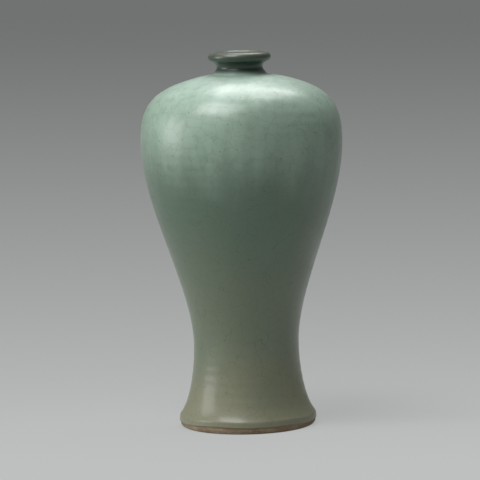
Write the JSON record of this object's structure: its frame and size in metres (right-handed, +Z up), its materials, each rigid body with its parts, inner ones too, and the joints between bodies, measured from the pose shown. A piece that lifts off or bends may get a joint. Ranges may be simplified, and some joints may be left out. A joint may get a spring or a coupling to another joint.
{
  "type": "meiping vase",
  "caption": "High-shouldered celadon bottle vase with a short neck, rolled lip, narrow waist and flared foot with a resting ring.",
  "frame": {"origin": "on the ground at the centre of the foot ring, in the plane of its resting face", "axes": "+Z up along the axis of the vase; X and Y are alike, because the vase is turned on a wheel"},
  "size_m": [0.1842, 0.1842, 0.344],
  "materials": {
    "stoneware": "unglazed fired stoneware, fine grit, browned where bare",
    "joint_slip": "fired slip of the same clay, slightly paler",
    "celadon_glaze": "satin-gloss grey-green celadon, darker where it pools, browner near the foot",
    "inner_celadon_glaze": "thinner, duller grey-green celadon"
  },
  "bodies": {
    "root": {"foot_section": "stoneware", "lower_body": "stoneware", "shoulder": "stoneware", "neck": "stoneware", "waist_joint_slip": "joint_slip", "belly_joint_slip": "joint_slip", "neck_joint_slip": "joint_slip", "outer_glaze": "celadon_glaze", "inner_glaze": "inner_celadon_glaze", "foot_glaze": "inner_celadon_glaze"}
  },
  "joints": []
}
